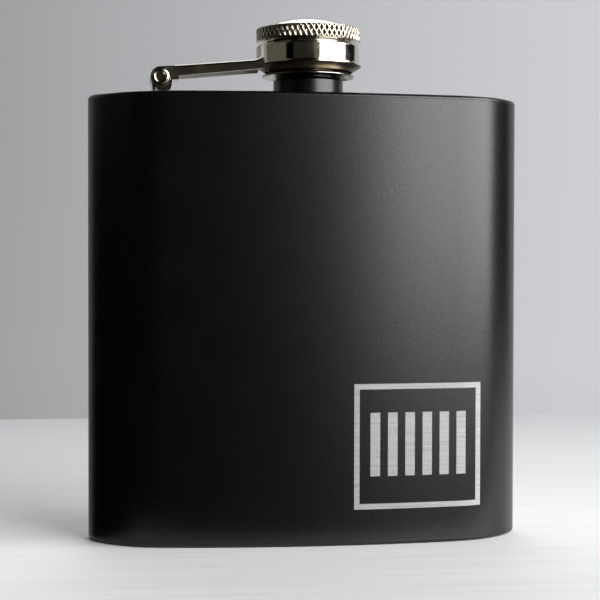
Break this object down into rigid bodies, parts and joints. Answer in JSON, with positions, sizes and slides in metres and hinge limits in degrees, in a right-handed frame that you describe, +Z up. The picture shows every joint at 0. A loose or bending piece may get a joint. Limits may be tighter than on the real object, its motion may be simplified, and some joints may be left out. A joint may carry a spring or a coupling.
{
  "type": "hip flask",
  "caption": "Curved pocket flask with flat ends, a threaded spout and a knurled screw cap held captive in a ring on a hinged arm.",
  "frame": {"origin": "middle of the footprint, on the surface the flask stands on", "axes": "+Z up through the spout, -Y out of the convex front, +X from the hinge towards the spout"},
  "size_m": [0.094, 0.0264, 0.112],
  "materials": {
    "black_coat": "satin black powder coat on stainless steel",
    "polished_nickel": "bright nickel plate, polished",
    "bare_steel": "bare stainless steel, fine satin",
    "seal_plastic": "milky soft plastic"
  },
  "bodies": {
    "flask": {"body_wall": "black_coat", "top_plate": "black_coat", "bottom_plate": "black_coat", "spout": "black_coat", "hinge_bracket": "polished_nickel"},
    "arm": {"hinge_arm": "polished_nickel", "hinge_rivet": "polished_nickel", "swivel_collar": "polished_nickel"},
    "cap": {"cap_head": "polished_nickel", "cap_barrel": "bare_steel", "cap_gasket": "seal_plastic"}
  },
  "joints": [
    {"name": "arm_hinge", "type": "hinge", "parent": "flask", "child": "arm", "pos_m": [-0.0319, -0.00171, 0.09875], "axis": [0, -1, 0], "range_deg": [0, 178]},
    {"name": "cap_spin", "type": "hinge", "parent": "arm", "child": "cap", "pos_m": [0, -0.00171, 0.1045], "axis": [0, 0, 1], "continuous": true}
  ]
}
